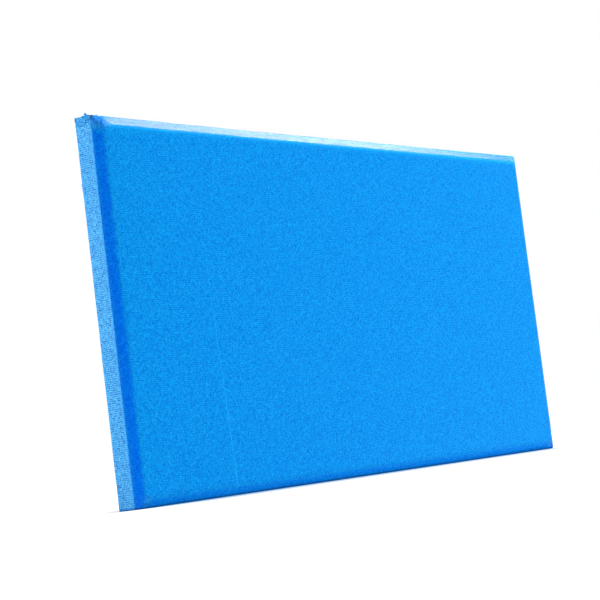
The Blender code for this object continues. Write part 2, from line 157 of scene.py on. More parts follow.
CORNERS = ["top_left", "top_right", "bottom_left", "bottom_right"]
plywood, plywood_shader = finish("plywood", 0.7)
across_plies = place_on_object(plywood)
wavy = {"Vector": across_plies, "Scale": PLIES, "Distortion": 0.4, "Detail": 1}
plies = add(plywood, "ShaderNodeTexWave", wavy, bands_direction="Y").outputs["Fac"]
ply_fibres = grain(plywood, place_on_object(plywood, (0.08, 1, 1)), PLY_FIBRES, 3)
ply_tone = blend_of(plywood, (0.5, plies), (0.5, ply_fibres))
colour_from(plywood, plywood_shader, shades(plywood, ply_tone, (0.2, PLY_LIGHT), (0.85, PLY_DARK)))
raise_surface(plywood, plywood_shader, ply_fibres, 0.0003, 0.7)
dress([f"corner_block_{corner}" for corner in CORNERS], plywood)

# Wood screws: two through each corner block and two through each rail into the brace.
# Hardened steel with bright zinc plating, countersunk and driven flush.
ZINC = (0.620, 0.625, 0.610, 1)
ZINC_WORN = (0.470, 0.470, 0.455, 1)
ZINC_CLOUDS = 320
ZINC_SCRATCHES = 3800


def zinc_plate(name):
    """Bright zinc with faint clouding and fine scratches."""
    material, shader = finish(name, 0.32, 1.0)
    where = place_on_object(material)
    clouds = grain(material, where, ZINC_CLOUDS, 4, 0.6)
    colour_from(material, shader, shades(material, clouds, (0.35, ZINC), (0.8, ZINC_WORN)))
    rough = add(material, "ShaderNodeMapRange", {"Value": clouds, "To Min": 0.24, "To Max": 0.46})
    material.node_tree.links.new(rough.outputs["Result"], shader.inputs["Roughness"])
    scratches = grain(material, place_on_object(material, (1, 1, 0.12)), ZINC_SCRATCHES, 2)
    raise_surface(material, shader, scratches, 0.00003, 0.5)
    return material


zinc = zinc_plate("zinc_plate")
dress([name for name in frame["nodes"] if name.startswith(("corner_screw", "brace_screw"))], zinc)

# Mineral wool: two stiff slabs that fill the frame on either side of the brace and soak up the sound.
# Pressed brown fibres in layers, cut to size and held by their own fit.
WOOL_PALE = (0.520, 0.420, 0.230, 1)
WOOL_DEEP = (0.270, 0.200, 0.095, 1)
WOOL_TUFTS = 70
WOOL_STRANDS = 900

mineral_wool, wool_shader = finish("mineral_wool", 1.0)
layered = place_on_object(mineral_wool, (1, 6, 1))
tufts = grain(mineral_wool, layered, WOOL_TUFTS, 6, 0.7)
strands = grain(mineral_wool, layered, WOOL_STRANDS, 3, 0.6)
wool_tone = blend_of(mineral_wool, (0.6, tufts), (0.4, strands))
wool_colour = shades(mineral_wool, wool_tone, (0.32, WOOL_PALE), (0.68, WOOL_DEEP))
colour_from(mineral_wool, wool_shader, wool_colour)
raise_surface(mineral_wool, wool_shader, wool_tone, 0.0012)
dress(["core_slab_left", "core_slab_right"], mineral_wool)

# Front fleece: a thin white polyester layer over the frame and the wool, up to where the bevel starts.
# It is tacked on dry, and keeps the edges of the frame from showing through the cloth.
FLEECE_T = 0.0015
FLEECE_SWELL = 0.0002  # how much of its thickness comes and goes
FLEECE_SWELLS = 40  # how often, in each metre
FLEECE_FUZZ = 500
FLEECE_WHITE = (0.790, 0.790, 0.765, 1)
FLEECE_SHADE = (0.600, 0.605, 0.590, 1)


def start(add_primitive, name, **sizes):
    """A primitive at its size and place, by itself and named, with its place in its mesh."""
    bpy.ops.object.select_all(action="DESELECT")
    add_primitive(**sizes)
    made = bpy.context.active_object
    made.name = made.data.name = name
    bpy.ops.object.transform_apply(location=True, rotation=True, scale=True)
    return made


def select_only(made):
    """Select one piece and nothing else, for the operators that follow."""
    bpy.ops.object.select_all(action="DESELECT")
    made.select_set(True)
    bpy.context.view_layer.objects.active = made


def apply(made, kind, **settings):
    """Add a modifier and apply it."""
    select_only(made)
    modifier = made.modifiers.new(kind.lower(), kind)
    for key, value in settings.items():
        setattr(modifier, key, value)
    bpy.ops.object.modifier_apply(modifier=modifier.name)


def seat(made, body, slot, material, *stands_for):
    """Finish a piece: its material, the body that it rides on and the nodes that it stands for."""
    made.data.materials.clear()
    made.data.materials.append(material)
    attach(made, body)
    if stands_for:
        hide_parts(*stands_for)


fleece_low, fleece_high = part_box("front_fleece")
fleece_size = fleece_high - fleece_low
fleece_middle = (fleece_low.z + fleece_high.z) / 2
fleece = start(
    bpy.ops.mesh.primitive_grid_add,
    "fleece_layer",
    x_subdivisions=120,
    y_subdivisions=60,
    size=1,
    location=(0, fleece_low.y, fleece_middle),
    rotation=(math.radians(90), 0, 0),
)
for vert in fleece.data.vertices:
    vert.co.x *= fleece_size.x
    vert.co.z = fleece_middle + (vert.co.z - fleece_middle) * fleece_size.z
    vert.co.y += FLEECE_SWELL * abs(noise.noise(vert.co * FLEECE_SWELLS))
apply(fleece, "SOLIDIFY", thickness=FLEECE_T - FLEECE_SWELL, offset=-1)
fleece.data.shade_smooth()
fleece_white, fleece_shader = finish("polyester_fleece", 0.95)
fuzz = grain(fleece_white, place_on_object(fleece_white), FLEECE_FUZZ, 6, 0.75)
fleece_colour = shades(fleece_white, fuzz, (0.35, FLEECE_WHITE), (0.75, FLEECE_SHADE))
colour_from(fleece_white, fleece_shader, fleece_colour)
raise_surface(fleece_white, fleece_shader, fuzz, 0.0006)
seat(fleece, "panel", "white_fleece", fleece_white, "front_fleece")

# Cover: one rectangle of bright blue cloth in a coarse plain weave, pulled over front, bevels and edges.
# It is turned in on the back of the frame and stapled there, with its fullness pleated at the corners.
BEVEL_INSET = 0.015
BEVEL_DEPTH = 0.010
CLOTH_T = 0.0008
CLOTH_RETURN = 0.0165
CLOTH_BEND = 0.0016  # the soft turn of the cloth over an outer edge
CREASE_BEND = 0.004  # and over the blunter edge between front and bevel
SHORT_EDGE = 0.009  # shorter edges belong to these soft turns
SHARP = 0.2  # from this angle on, an edge gets its soft turn
FACING = 0.9  # how nearly a face has to look one way to be taken for that side of a piece
MOSTLY_FACING = 0.7  # and where the soft turns count as well
FLOOR_GAP = 0.0001  # what the cloth keeps to the floor
# Cuts that give the cloth its mesh: along an axis, for edges longer than so much, so many each.
CLOTH_CUTS = (("X", 1.0, 11), ("X", 0.05, 12), ("Z", 0.5, 8), ("Z", 0.05, 8), ("Y", 0.02, 7))

# How far loose cloth stands off, and how wide one loose patch is.
FRONT_SWELL = (0.00035, 0.16)
FRONT_RIPPLE = (0.00012, 0.035)
SIDE_SWELL = (0.0004, 0.14)
SIDE_RIPPLE = (0.0006, 0.05)
TOP_RIPPLE = (0.0004, 0.06)
LOOSE_FROM = (0.02, 0.08)  # how far in from the edges the front starts to be loose, and is fully
TOP_BOW = 0.0010  # how far the cloth on the top bows up away from its lowest place
TOP_LOWEST = -0.22
TOP_BOW_OVER = (0.05, 0.5)

# The fullness at the corners, most of it at the top left, as distances over which it fades.
CORNER_REACH = 0.045  # how far the cloth is disturbed from a corner
CORNER_HEIGHT = 0.8 * CORNER_REACH
BUNCH_FADES_X = (0.018, 0.036)
BUNCH_FADES_Z = (0.012, 0.024)
TIDY_CORNER = 0.4  # how much of the top left corner's fullness the other corners have
CRUMPLES = 230  # in each metre
FINE_CRUMPLES = 520
CRUMPLE_RISE = 0.0012
FLAP_RISE = 0.0013  # how far the folded flap on the top stands up
FLAP_W = 0.006  # how wide it is where it leaves the bevel
FLAP_SPLAY = 0.55  # and how much wider it gets with its distance from there
FLAP_EDGE = 0.0015
FLAP_DEPTH = (0.012, 0.020)  # how far behind the front it starts to rise, and stands at its height
TIDY_FLAP = 0.45  # how much of the left flap's height the right one has
EAR_DEPTH = 0.0206  # where the corner's fold stands up, behind the front
EAR_SPREAD = (0.0034, 0.006, 0.0026)  # along the panel, up and back
EAR_MOVE = Vector((-0.0006, 0, 0.0042))
TIP_SPREAD = (0.003, 0.003, 0.004)  # the small tip that stands out at the back of the corner
TIP_MOVE = Vector((-0.0011, 0.0002, 0.0008))

# How the cloth's look changes from place to place: distances over which it does, and how strongly.
# Painted light among them: painted shade in folds and along the underside, painted sheen and raking light
# on the edge strips, painted shade on the bevels.
CLOTH_LOOKS = ("painted_shade", "raking_light", "bevel_shade", "crumpled", "pale_line")
CONTACT_SHADE_FADE = (0.0008, 0.0045)  # height above the floor over which the painted contact shade along the underside fades out
CONTACT_SHADE_DARK = 0.75
RAKING_LIGHT_DEPTH = (0.008, 0.013)  # depth behind the front at which the painted sheen and raking light of the edge strips set in
CORNER_RAKING_LIGHT = 0.5
SIDE_BEVEL = (0.011, 0.018)  # distance in from a side at which the painted shade of its bevel ends
RAIL_BEVEL = (0.010, 0.015)  # and in from the top or the bottom
PAST_CORNER = (0.016, 0.032)  # distance from a corner at which it begins
# how strongly the painted bevel shade lies on each bevel and in the corners
SIDE_BEVEL_SHADE = 0.7
TOP_BEVEL_SHADE = 0.5
BOTTOM_BEVEL_SHADE = 0.3
CORNER_BEVEL_SHADE = 0.35
PALE_LINE_EDGE = (0.0108, 0.0016)  # a line of paler thread crowns along the outer edge: its depth and its spread
PALE_LINE_TOP = (0.0165, 0.0022)  # another where the front starts, below the top
TOP_PALE_LINE = 0.8

# Yarn and colours.
THREAD = 0.00162  # from one thread to the next
BLUE = (0.001, 0.222, 0.670, 1)
BLUE_PALE = (0.010, 0.430, 0.845, 1)
BLUE_DEEP = (0.000, 0.085, 0.500, 1)
BEVEL_SHADE_DEEP = (0, 0.055, 0.750, 1)  # painted shade: the deeper, darker blue of a bevel in shade, laid on the bevels
BEVEL_SHADE_PALE = (0, 0.225, 0.98, 1)
# painted shade: the dark blue laid into the corner's folds and along the edge that stands on the floor
BLUE_PAINTED_SHADE = (0.000, 0.070, 0.320, 1)
RAKED_PALE = (0.110, 0.500, 0.900, 1)  # painted sheen of raking light on the threads round the panel's edges
RAKED_DEEP = (0.000, 0.080, 0.330, 1)  # and painted raking shade in the gaps between them
YARN_CHANGES = 170  # how often a thread changes its tone, in each metre of it
NEXT_YARN = 7.31  # how far apart the tones of two neighbouring threads are read from the grain
WEFT_FROM = 2.3  # and where the tones of the weft start
WANDER = 0.0016  # how far a thread strays from a straight line
WANDERS = 45  # how often, in each metre
FLECKS = 210
PATCHES = 14
MIDDLE_TONE = 1.57  # what the sum of the patterns comes to on average
YARN_ROUGHNESS = 0.18
YARN_IOR = 1.36
YARN_SPECULAR = 0.03
STREAK_U = -0.385  # where a pale streak crosses the middle of the front
STREAK_SLANT = -0.034  # how far it drifts sideways with each metre of height
STREAK_TOP = 0.13  # how far above the middle it starts to show
STREAK_FADE = 0.16  # and over what length it comes up
STREAK_HALF_W = 0.6 * THREAD

cloth_low, cloth_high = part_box("cover_fabric")
panel_w, panel_t, panel_h = cloth_high - cloth_low
front_y, back_y = cloth_low.y, cloth_high.y


def edit(made, kind):
    """Open a piece for shaping by its faces or its edges."""
    select_only(made)
    bpy.ops.object.mode_set(mode="EDIT")
    bpy.ops.mesh.select_mode(type=kind)


def pick(made, wanted):
    """Select just those faces or edges of the piece being shaped that a test wants."""
    bpy.ops.mesh.select_all(action="DESELECT")
    bm = bmesh.from_edit_mesh(made.data)
    by_face = bm.select_mode == {"FACE"}
    for item in bm.faces if by_face else bm.edges:
        if wanted(item):
            item.select_set(True)
    bm.select_flush_mode()
    bmesh.update_edit_mesh(made.data)


def runs(edge, axis, shortest):
    """Whether an edge runs along an axis and is at least so long."""
    way = edge.verts[1].co - edge.verts[0].co
    return way.length > shortest and abs(way["XYZ".index(axis)]) > 0.999 * way.length


def slants(edge):
    """Whether an edge runs up the bevel."""
    way = edge.verts[1].co - edge.verts[0].co
    return way.length > SHORT_EDGE and 0.3 < abs(way.y) / way.length < 0.9


def turned_in(edge):
    """Whether an edge runs across the cloth that is turned in on the back."""
    return edge.calc_length() > SHORT_EDGE and min(vert.co.y for vert in edge.verts) > back_y - 0.00001


def near_corner(co):
    """Whether a place is near one of the four corners."""
    in_x = panel_w / 2 - abs(co.x)
    in_z = panel_h / 2 - abs(co.z - panel_h / 2)
    return in_x < CORNER_REACH and in_z < CORNER_HEIGHT


def divide(made, cuts, wanted):
    """Cut the wanted edges, and the faces between them, into equal lengths."""
    pick(made, wanted)
    bpy.ops.mesh.subdivide(number_cuts=cuts)


cover = start(
    bpy.ops.mesh.primitive_cube_add,
    "cloth_cover",
    size=1,
    location=(0, (front_y + BEVEL_DEPTH + back_y) / 2, panel_h / 2),
    scale=(panel_w, panel_t - BEVEL_DEPTH, panel_h),
)
edit(cover, "FACE")
pick(cover, lambda face: face.normal.y < -FACING)
bpy.ops.mesh.inset(thickness=BEVEL_INSET, depth=BEVEL_DEPTH)
pick(cover, lambda face: face.normal.y > FACING)
bpy.ops.mesh.inset(thickness=CLOTH_RETURN)
bpy.ops.mesh.delete(type="FACE")
bpy.ops.mesh.select_mode(type="EDGE")
pick(cover, lambda edge: any(face.normal.y < -FACING for face in edge.link_faces))
bpy.ops.mesh.bevel(offset=CREASE_BEND, segments=5, affect="EDGES")
pick(cover, lambda edge: edge.is_manifold and edge.calc_face_angle(0) > SHARP)
bpy.ops.mesh.bevel(offset=CLOTH_BEND, segments=3, affect="EDGES")
for axis, shortest, cuts in CLOTH_CUTS:
    divide(cover, cuts, lambda edge: runs(edge, axis, shortest))
divide(cover, 3, slants)
divide(cover, 2, turned_in)
bpy.ops.mesh.select_mode(type="FACE")
divide(cover, 3, lambda face: near_corner(face.calc_center_median()))
bpy.ops.object.mode_set(mode="OBJECT")


def eased(value, start_at, end_at):
    """From 0 to 1, with a soft start and end."""
    share = min(max((value - start_at) / (end_at - start_at), 0), 1)
    return share * share * (3 - 2 * share)


def hump(value, middle, spread):
    """A round hump of height 1."""
    return math.exp(-(((value - middle) / spread) ** 2))


def stands_off(x, y, height, patch):
    """How far cloth stands off at a place, up to a height, in loose patches of one width."""
    slack = 0.5 + noise.noise(Vector((x / patch, y / patch, 3.7)))
    return height * min(max(slack, 0), 1)


def cloth_moves(co, normal):
    """How far the pulled cloth stands off a plain box at one place."""
    depth = co.y - front_y
    in_x = panel_w / 2 - abs(co.x)
    in_z = min(co.z, panel_h - co.z)
    loose = eased(min(in_x, in_z), *LOOSE_FROM)
    move = Vector((0, 0, 0))
    if normal.y < -FACING:
        move.y -= loose * (stands_off(co.x, co.z, *FRONT_SWELL) + stands_off(co.x, co.z, *FRONT_RIPPLE))
    if abs(normal.x) > MOSTLY_FACING:
        out = stands_off(co.z, co.y, *SIDE_RIPPLE) + stands_off(co.z, 0, *SIDE_SWELL)
        move.x += math.copysign(out, co.x)
    if normal.z > MOSTLY_FACING:
        bow = TOP_BOW * eased(abs(co.x - TOP_LOWEST), *TOP_BOW_OVER)
        move.z += bow + stands_off(co.x, co.y, *TOP_RIPPLE)
    return move + pleats(co, normal, depth, in_x, in_z)


def bunched(co):
    """How much cloth is bunched together at a place, and whether it rises or sinks there."""
    in_x = panel_w / 2 - abs(co.x)
    in_z = min(co.z, panel_h - co.z)
    fullness = 1.0 if co.x < 0 and co.z > panel_h / 2 else TIDY_CORNER
    share = fullness * (1 - eased(in_x, *BUNCH_FADES_X)) * (1 - eased(in_z, *BUNCH_FADES_Z))
    return share, noise.noise(co * CRUMPLES) + 0.5 * noise.noise(co * FINE_CRUMPLES)


def looks(co):
    """How much painted shade, painted raking light and painted bevel shade the cloth has at a place, how
    crumpled it is and how strong its pale lines are, each from 0 to 1.
    """
    depth = co.y - front_y
    in_x = panel_w / 2 - abs(co.x)
    in_z = min(co.z, panel_h - co.z)
    crumpled, rise = bunched(co)
    fold_shade = crumpled * min(max(-0.15 - 1.5 * rise, 0), 1)  # painted shade in the folds, where the cloth sinks well below the rest
    # painted contact shade along the bottom edge, where the cloth meets the floor
    painted_shade = max(fold_shade, CONTACT_SHADE_DARK * (1 - eased(co.z, *CONTACT_SHADE_FADE)))
    # painted sheen and raking light on the edge strips behind the front
    raking_light = eased(depth, *RAKING_LIGHT_DEPTH)
    # painted shade on the bevels
    by_side = SIDE_BEVEL_SHADE * (1 - eased(in_x, *SIDE_BEVEL)) * eased(panel_h - co.z, *PAST_CORNER)
    rail_bevel_shade = TOP_BEVEL_SHADE if co.z > panel_h / 2 else BOTTOM_BEVEL_SHADE
    by_rail = rail_bevel_shade * (1 - eased(in_z, *RAIL_BEVEL)) * eased(in_x, *PAST_CORNER)
    bevel_shade = max(by_side, by_rail, CORNER_BEVEL_SHADE * crumpled) * (1 - raking_light)
    pale_line = max(hump(depth, *PALE_LINE_EDGE), TOP_PALE_LINE * hump(panel_h - co.z, *PALE_LINE_TOP))
    return painted_shade, max(raking_light, CORNER_RAKING_LIGHT * crumpled), bevel_shade, crumpled, pale_line


def corner_hump(in_x, in_z, behind, spread):
    """A round hump at a corner of the panel, with its spread along, up and back."""
    return hump(in_x, 0, spread[0]) * hump(in_z, 0, spread[1]) * hump(behind, 0, spread[2])


def pleats(co, normal, depth, in_x, in_z):
    """The fullness gathered at the corners, most of it at the top left."""
    if in_x > CORNER_REACH or in_z > CORNER_REACH:
        return Vector((0, 0, 0))
    left, top = co.x < 0, co.z > panel_h / 2
    share, rise = bunched(co)
    move = normal * CRUMPLE_RISE * share * rise
    if normal.z > MOSTLY_FACING:
        flap = FLAP_W + FLAP_SPLAY * (depth - BEVEL_DEPTH)
        on_flap = 1 - eased(in_x, flap - FLAP_EDGE, flap + FLAP_EDGE)
        fullness = 1.0 if left else TIDY_FLAP
        move.z += fullness * FLAP_RISE * on_flap * eased(depth, *FLAP_DEPTH)
    if left and top:
        ear = corner_hump(in_x, in_z, depth - EAR_DEPTH, EAR_SPREAD)
        tip = corner_hump(in_x, in_z, depth - panel_t, TIP_SPREAD)
        move += EAR_MOVE * ear + TIP_MOVE * tip
    return move


def round_the_edge(in_edge, depth):
    """How much of the cut lies between the top of the bevel and a place further out."""
    slope = math.hypot(BEVEL_INSET, BEVEL_DEPTH)
    if in_edge > BEVEL_INSET:
        return BEVEL_INSET - in_edge
    if depth < BEVEL_DEPTH:
        return slope * (BEVEL_INSET - in_edge) / BEVEL_INSET
    return slope + depth - BEVEL_DEPTH + in_edge


def place_on_cut(co, face):
    """Where a place on the panel lies on the flat cut cloth, in metres from its middle."""
    centre, normal = face.calc_center_median(), face.normal
    depth = co.y - front_y
    u, v = co.x, co.z - panel_h / 2
    if normal.y < -0.97:  # the front, without the soft turns round it
        return u, v
    by_side = abs(normal.x) > abs(normal.z)
    if normal.y > FACING:
        by_side = panel_w / 2 - abs(centre.x) < panel_h / 2 - abs(centre.z - panel_h / 2)
    if by_side:
        run = round_the_edge(panel_w / 2 - abs(co.x), depth)
        return math.copysign(panel_w / 2 - BEVEL_INSET + run, u), v
    run = round_the_edge(panel_h / 2 - abs(v), depth)
    return u, math.copysign(panel_h / 2 - BEVEL_INSET + run, centre.z - panel_h / 2)


bm = bmesh.new()
bm.from_mesh(cover.data)
cut_map = bm.loops.layers.uv.new("cut")
layers = [bm.verts.layers.float.new(name) for name in CLOTH_LOOKS]
for face in bm.faces:
    for corner in face.loops:
        corner[cut_map].uv = place_on_cut(corner.vert.co, face)
moves = [cloth_moves(vert.co, vert.normal) for vert in bm.verts]
for vert, move in zip(bm.verts, moves):
    for layer, value in zip(layers, looks(vert.co)):
        vert[layer] = value
    vert.co += move
    vert.co.z = max(vert.co.z, FLOOR_GAP)
bm.to_mesh(cover.data)
bm.free()
apply(cover, "SOLIDIFY", thickness=CLOTH_T, offset=-1)
cover.data.shade_smooth()

cloth, cloth_shader = finish("blue_cloth", YARN_ROUGHNESS)
cloth_shader.inputs["Specular IOR Level"].default_value = YARN_SPECULAR
cloth_shader.inputs["IOR"].default_value = YARN_IOR
on_cut = add(cloth, "ShaderNodeUVMap", {}, uv_map="cut").outputs[0]
drift = add(cloth, "ShaderNodeTexNoise", {"Vector": on_cut, "Scale": WANDERS, "Detail": 2}).outputs["Color"]
strayed = {0: drift, 1: (WANDER, WANDER, 0), 2: on_cut}
threads = add(cloth, "ShaderNodeVectorMath", strayed, operation="MULTIPLY_ADD").outputs[0]
thread_uv = add(cloth, "ShaderNodeSeparateXYZ", {"Vector": threads})
turns = math.pi / THREAD
warp_wave = number(cloth, "SINE", number(cloth, "MULTIPLY", thread_uv.outputs["X"], turns))
weft_wave = number(cloth, "SINE", number(cloth, "MULTIPLY", thread_uv.outputs["Y"], turns))
over_under = number(cloth, "MULTIPLY", warp_wave, weft_wave)
warp_on_top = number(cloth, "GREATER_THAN", over_under, 0)
across_warp = number(cloth, "ABSOLUTE", warp_wave)
across_weft = number(cloth, "ABSOLUTE", weft_wave)


def top_thread(weft, warp):
    """What holds for the thread that lies on top at a crossing."""
    return add(cloth, "ShaderNodeMix", {"Factor": warp_on_top, "A": weft, "B": warp}).outputs["Result"]


def yarn(across, along):
    """The uneven tone of each thread: soft changes along it, and a jump from one to the next."""
    which = number(cloth, "FLOOR", number(cloth, "DIVIDE", across, THREAD))
    which_line = number(cloth, "MULTIPLY", which, NEXT_YARN)
    along_line = number(cloth, "MULTIPLY", along, YARN_CHANGES)
    line = add(cloth, "ShaderNodeCombineXYZ", {"X": which_line, "Y": along_line}).outputs[0]
    return grain(cloth, line, 1, 3, 0.65)


crowns = top_thread(
    number(cloth, "MULTIPLY", across_weft, number(cloth, "POWER", across_warp, 0.5)),
    number(cloth, "MULTIPLY", across_warp, number(cloth, "POWER", across_weft, 0.5)),
)
slubs = top_thread(
    yarn(thread_uv.outputs["Y"], thread_uv.outputs["X"]),
    yarn(thread_uv.outputs["X"], number(cloth, "ADD", thread_uv.outputs["Y"], WEFT_FROM)),
)
flecks = grain(cloth, on_cut, FLECKS, 3, 0.65)
painted_shade, raking_light, bevel_shade, crumpled, pale_line = (
    add(cloth, "ShaderNodeAttribute", {}, attribute_name=name).outputs["Fac"] for name in CLOTH_LOOKS
)
upright = number(cloth, "MULTIPLY_ADD", thread_uv.outputs["Y"], -STREAK_SLANT, thread_uv.outputs["X"])
from_streak = number(cloth, "ABSOLUTE", number(cloth, "SUBTRACT", upright, STREAK_U))
comes_up = {"Value": thread_uv.outputs["Y"], "From Min": STREAK_TOP, "From Max": STREAK_TOP - STREAK_FADE}
streak_shows = add(cloth, "ShaderNodeMapRange", comes_up).outputs["Result"]
streak = number(cloth, "MULTIPLY", number(cloth, "LESS_THAN", from_streak, STREAK_HALF_W), streak_shows)
# the painted raking light also deepens the ribs and the contrast of the weave on the edge strips
ribs = number(cloth, "MULTIPLY", weft_wave, blend_of(cloth, (0.05, raking_light), base=0.06))
patterns = blend_of(
    cloth,
    (2.1, slubs),
    (0.28, flecks),
    (0.75, crowns),
    (0.12, over_under),
    (0.27, streak),
    (0.40, number(cloth, "MULTIPLY", pale_line, crowns)),
    (1.00, ribs),
)
contrast = blend_of(cloth, (0.8, grain(cloth, on_cut, PATCHES)), (1.2, raking_light), base=0.45)
cloth_tone = number(cloth, "MULTIPLY_ADD", number(cloth, "SUBTRACT", patterns, MIDDLE_TONE), contrast, 0.5)
cloth_colour = shades(cloth, cloth_tone, (0.14, BLUE_DEEP), (0.86, BLUE_PALE), (0.5, BLUE))
raked_colour = shades(cloth, cloth_tone, (0.10, RAKED_DEEP), (0.90, RAKED_PALE))
bevel_shade_colour = shades(cloth, cloth_tone, (0.20, BEVEL_SHADE_DEEP), (0.80, BEVEL_SHADE_PALE))
# painted light laid over the cloth's colour: raking light on the edge strips, shade on the bevels, shade in
# folds and along the underside
for share, changed in ((raking_light, raked_colour), (bevel_shade, bevel_shade_colour), (painted_shade, BLUE_PAINTED_SHADE)):
    inputs = {0: share, 6: cloth_colour, 7: changed}
    cloth_colour = add(cloth, "ShaderNodeMix", inputs, data_type="RGBA").outputs[2]
colour_from(cloth, cloth_shader, cloth_colour)
rough = blend_of(cloth, (0.15, bevel_shade), base=YARN_ROUGHNESS)
for share, dull in ((0.6, number(cloth, "MAXIMUM", crumpled, painted_shade)), (0.36, raking_light)):
    rough = number(cloth, "MAXIMUM", rough, blend_of(cloth, (share, dull), base=YARN_ROUGHNESS))
cloth.node_tree.links.new(rough, cloth_shader.inputs["Roughness"])
raise_surface(cloth, cloth_shader, blend_of(cloth, (0.4, slubs), base=crowns), 0.00008, 0.8)
seat(cover, "panel", "blue_cloth", cloth, "cover_fabric")

# Dust cover: a black spunbonded sheet that closes the back and hides the turned-in edge of the cloth.
# It is folded under all round and stapled to the frame every 50 mm or so.
STAPLE_PITCH = 0.050
STAPLE_INSET = 0.0095
STAPLE_PULL = 0.012  # how far round the line of staples the sheet is drawn in
STAPLE_HOLD = 0.8  # and how much of its looseness each staple takes away
HEM = 0.009
HEM_RISE = 0.0003
HEM_EDGE = 0.0006
DUST_CORNER_R = 0.004
DUST_SWELL = (0.0006, 0.13)  # how far it stands off, and how wide one loose patch is
DUST_RIPPLE = (0.0002, 0.028)
DUST_LOOSE_FROM = (0.004, 0.03)
PRESSED_ROUND = 0.0105  # it lies flat so far round a hanger or a bumper
BOND_PITCH = 0.0020  # from one pressed dot to the next
WEB_FIBRES = 850
BLACK_FIBRE = (0.030, 0.030, 0.032, 1)
BLACK_PRESSED = (0.012, 0.012, 0.013, 1)

dust_low, dust_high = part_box("dust_cover")
dust_size = dust_high - dust_low
strap_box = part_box("strap_hanger_right")
bumper_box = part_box("wall_bumper_bottom_right")


def rounded_corner(co):
    """Pull a place in the outermost corners of the sheet back onto a round corner."""
    half_w, half_h = dust_size.x / 2 - DUST_CORNER_R, dust_size.z / 2 - DUST_CORNER_R
    out = Vector((abs(co.x) - half_w, abs(co.z - panel_h / 2) - half_h))
    if min(out) > 0 and out.length > DUST_CORNER_R:
        out *= DUST_CORNER_R / out.length
        co.x = math.copysign(half_w + out.x, co.x)
        co.z = panel_h / 2 + math.copysign(half_h + out.y, co.z - panel_h / 2)


def pressed_by(box, across, up):
    """Whether the sheet is pressed flat at a place by a piece on it, given by its box."""
    low, high = box
    beside = low.x - PRESSED_ROUND < across < high.x + PRESSED_ROUND
    return beside and low.z - PRESSED_ROUND < up < high.z + PRESSED_ROUND


def dust_cover_lift(co):
    """How far the sheet stands off the frame: loose in the middle, drawn in at each staple."""
    in_x = panel_w / 2 - abs(co.x)
    in_z = min(co.z, panel_h - co.z)
    if pressed_by(strap_box, abs(co.x), co.z) or pressed_by(bumper_box, abs(co.x), in_z):
        return 0
    inset = min(in_x, in_z)
    along = co.x if in_z < in_x else co.z - panel_h / 2
    pulled = hump(inset, STAPLE_INSET, STAPLE_PULL) * math.cos(along * math.pi / STAPLE_PITCH) ** 2
    loose = stands_off(co.x, co.z, *DUST_SWELL) + stands_off(co.x, co.z, *DUST_RIPPLE)
    hem_end = dust_low.z + HEM
    hem = HEM_RISE * (1 - eased(inset, hem_end - HEM_EDGE, hem_end + HEM_EDGE))
    return hem + loose * (1 - STAPLE_HOLD * pulled) * eased(inset, *DUST_LOOSE_FROM)


dust_cover = start(
    bpy.ops.mesh.primitive_grid_add,
    "dust_cover_sheet",
    x_subdivisions=200,
    y_subdivisions=100,
    size=1,
    location=(0, dust_high.y, panel_h / 2),
    rotation=(math.radians(-90), 0, 0),
)
for vert in dust_cover.data.vertices:
    vert.co.x *= dust_size.x
    vert.co.z = panel_h / 2 + (vert.co.z - panel_h / 2) * dust_size.z
    rounded_corner(vert.co)
    vert.co.y += dust_cover_lift(vert.co)
apply(dust_cover, "SOLIDIFY", thickness=dust_size.y, offset=-1)
dust_cover.data.shade_smooth()

spunbond, spunbond_shader = finish("black_spunbond", 0.75)
spunbond_shader.inputs["Sheen Weight"].default_value = 0.25
spunbond_shader.inputs["Specular IOR Level"].default_value = 0.3
on_sheet = place_on_object(spunbond)
sheet_xyz = add(spunbond, "ShaderNodeSeparateXYZ", {"Vector": on_sheet})
bond_rows, bond_lines = (
    number(spunbond, "SINE", number(spunbond, "MULTIPLY", sheet_xyz.outputs[axis], math.tau / BOND_PITCH))
    for axis in "XZ"
)
pressed_dots = number(spunbond, "GREATER_THAN", number(spunbond, "MULTIPLY", bond_rows, bond_lines), 0.45)
fibre_web = grain(spunbond, on_sheet, WEB_FIBRES, 4, 0.7)
web_tone = blend_of(spunbond, (-0.3, pressed_dots), base=fibre_web)
colour_from(spunbond, spunbond_shader, shades(spunbond, web_tone, (0.2, BLACK_PRESSED), (0.7, BLACK_FIBRE)))
raise_surface(spunbond, spunbond_shader, web_tone, 0.00025, 0.8)
seat(dust_cover, "panel", "black_nonwoven", spunbond, "dust_cover")

# Staples of the dust cover: galvanised wire with a flat crown, driven into the rails and stiles.
# They stand in rows along the hem and miss the hangers and the bumpers.
CROWN_W = 0.0115
CROWN_T = 0.0006
STAPLE_WIRE_W = 0.0011
STAPLE_LEG = 0.007
STAPLE_BEND = 0.0004
STAPLE_LIFT = 0.00035  # the crown bears on the sheet where that stands off the frame
STAPLE_LEAN = 9  # degrees out of line, at most
STAPLES_ALONG = 11  # staples on each side of the middle of a long edge
STAPLES_UP = 5  # and of a short one
PAST_HANGER = 0.018  # none is driven so close above or below a hanger


def outer_bend(edge):
    """Whether an edge of a staple lies on the outside of the bend between crown and leg."""
    place = edge.verts[0].co
    return runs(edge, "Z", STAPLE_WIRE_W / 2) and place.y > 0 and abs(place.x) > 0.45 * CROWN_W


